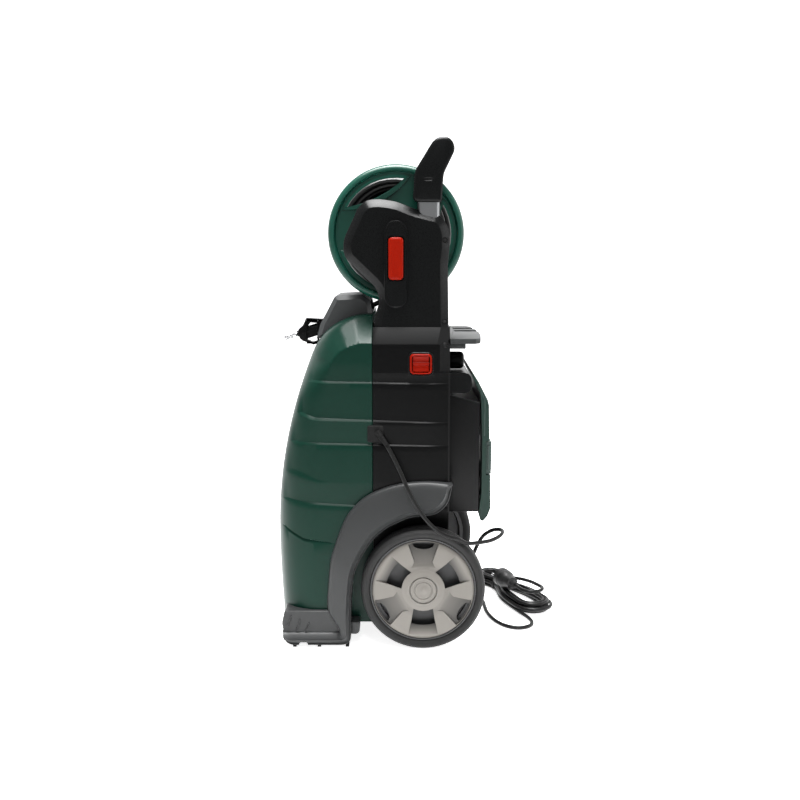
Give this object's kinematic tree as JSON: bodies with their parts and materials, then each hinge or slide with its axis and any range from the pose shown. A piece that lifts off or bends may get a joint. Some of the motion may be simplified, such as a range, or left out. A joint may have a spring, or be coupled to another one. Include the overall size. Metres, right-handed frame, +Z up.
{
  "type": "pressure washer",
  "caption": "Upright electric pressure washer on two wheels, with a hose reel on a crank between two arms, a push-down handle, a rear storage box and a mains cable.",
  "frame": {"origin": "centre of the bounding box of the machine without its cable, on the floor", "axes": "+Z up, front towards -Y, the crank, the switch and the cable on the +X side"},
  "size_m": [0.3957, 0.5142, 0.87],
  "materials": {
    "aluminium": "drawn",
    "black_plastic": "fine moulded texture",
    "brass": "machined",
    "cable_pvc": "smooth jacket",
    "cast_aluminium": "cast",
    "copper": "laminated steel and copper",
    "green_plastic": "satin",
    "grey_plastic": "fine moulded texture",
    "hose_pvc": "smooth jacket",
    "hub_plastic": "satin",
    "plug_pin": "nickel plated",
    "plug_pvc": "moulded",
    "red_plastic": "satin",
    "rubber": "smooth",
    "steel": "machined",
    "tyre_rubber": "moulded rubber",
    "white_plastic": "satin",
    "zinc_screw": "zinc plated"
  },
  "bodies": {
    "root": {"base_tray": "black_plastic", "front_shell": "green_plastic", "rear_shell": "black_plastic", "top_cowl": "grey_plastic", "left_fender": "grey_plastic", "right_fender": "grey_plastic", "foot_pads": "rubber", "left_arm_cover": "black_plastic", "right_arm_cover": "black_plastic", "arm_frame": "black_plastic", "reel_bushes": "white_plastic", "swivel_joint": "brass", "high_pressure_pipe": "steel", "inlet_fitting": "black_plastic", "hose_guide": "black_plastic", "hose_tail": "hose_pvc", "hose_sleeve": "rubber", "hose_nipple": "steel", "motor_housing": "cast_aluminium", "pump_housing": "cast_aluminium", "pump_head": "brass", "pressure_switch": "black_plastic", "switch_bezel": "red_plastic", "switch_block": "black_plastic", "accessory_rack": "grey_plastic", "rear_cap": "black_plastic", "storage_box": "grey_plastic", "wheel_axle": "steel", "axle_caps": "zinc_screw", "cable_gland": "rubber", "mains_cable": "cable_pvc", "cable_hank": "cable_pvc", "cable_tie": "black_plastic", "plug_body": "plug_pvc", "plug_pins": "plug_pin", "body_screws": "zinc_screw"},
    "left_wheel": {"left_tyre": "tyre_rubber", "left_hub": "hub_plastic"},
    "right_wheel": {"right_tyre": "tyre_rubber", "right_hub": "hub_plastic"},
    "handle": {"left_handle_tube": "aluminium", "right_handle_tube": "aluminium", "handle_grip": "black_plastic"},
    "reel": {"left_reel_flange": "green_plastic", "right_reel_flange": "green_plastic", "reel_drum": "black_plastic", "reel_shaft": "brass", "hose_winding": "hose_pvc", "crank_arm": "black_plastic"},
    "grip": {"crank_grip": "red_plastic"},
    "switch": {"power_rocker": "red_plastic"},
    "regulator": {"regulator_knob": "black_plastic"},
    "door": {"box_door": "green_plastic"},
    "latch": {"door_latch": "black_plastic"},
    "motor_shaft": {"rotor": "copper", "cooling_fan": "black_plastic", "wobble_plate": "steel"},
    "pump_piston_1": {"piston_1": "steel"},
    "pump_piston_2": {"piston_2": "steel"},
    "pump_piston_3": {"piston_3": "steel"}
  },
  "joints": [
    {"name": "left_wheel_spin", "type": "hinge", "parent": "root", "child": "left_wheel", "pos_m": [0.1695, 0.069, 0.107], "axis": [1, 0, 0], "continuous": true},
    {"name": "right_wheel_spin", "type": "hinge", "parent": "root", "child": "right_wheel", "pos_m": [-0.1695, 0.069, 0.107], "axis": [1, 0, 0], "continuous": true},
    {"name": "handle_slide", "type": "slide", "parent": "root", "child": "handle", "axis": [0, 0, 1], "range_m": [0, 0.25]},
    {"name": "reel_spin", "type": "hinge", "parent": "root", "child": "reel", "pos_m": [0, 0.022, 0.713], "axis": [1, 0, 0], "continuous": true},
    {"name": "grip_fold", "type": "hinge", "parent": "reel", "child": "grip", "pos_m": [0.1555, 0.022, 0.64], "axis": [0, 1, 0], "range_deg": [0, 90]},
    {"name": "power_press", "type": "hinge", "parent": "root", "child": "switch", "pos_m": [0.162, 0.0645, 0.496], "axis": [0, 1, 0], "range_deg": [0, 14]},
    {"name": "regulator_turn", "type": "hinge", "parent": "root", "child": "regulator", "pos_m": [0.095, 0.128, 0.495], "axis": [0, 1, 0], "range_deg": [0, 270]},
    {"name": "door_swing", "type": "hinge", "parent": "root", "child": "door", "pos_m": [-0.134, 0.176, 0.33], "axis": [0, 0, 1], "range_deg": [0, 110]},
    {"name": "latch_slide", "type": "slide", "parent": "door", "child": "latch", "axis": [-1, 0, 0], "range_m": [0, 0.003], "stiffness_N_per_m": 300},
    {"name": "motor_spin", "type": "hinge", "parent": "root", "child": "motor_shaft", "pos_m": [0, -0.045, 0.3], "axis": [0, 0, 1], "continuous": true},
    {"name": "piston_1_stroke", "type": "slide", "parent": "root", "child": "pump_piston_1", "axis": [0, 0, 1], "range_m": [-0.004, 0.004], "stiffness_N_per_m": 3000},
    {"name": "piston_2_stroke", "type": "slide", "parent": "root", "child": "pump_piston_2", "axis": [0, 0, 1], "range_m": [-0.004, 0.004], "stiffness_N_per_m": 3000},
    {"name": "piston_3_stroke", "type": "slide", "parent": "root", "child": "pump_piston_3", "axis": [0, 0, 1], "range_m": [-0.004, 0.004], "stiffness_N_per_m": 3000}
  ]
}
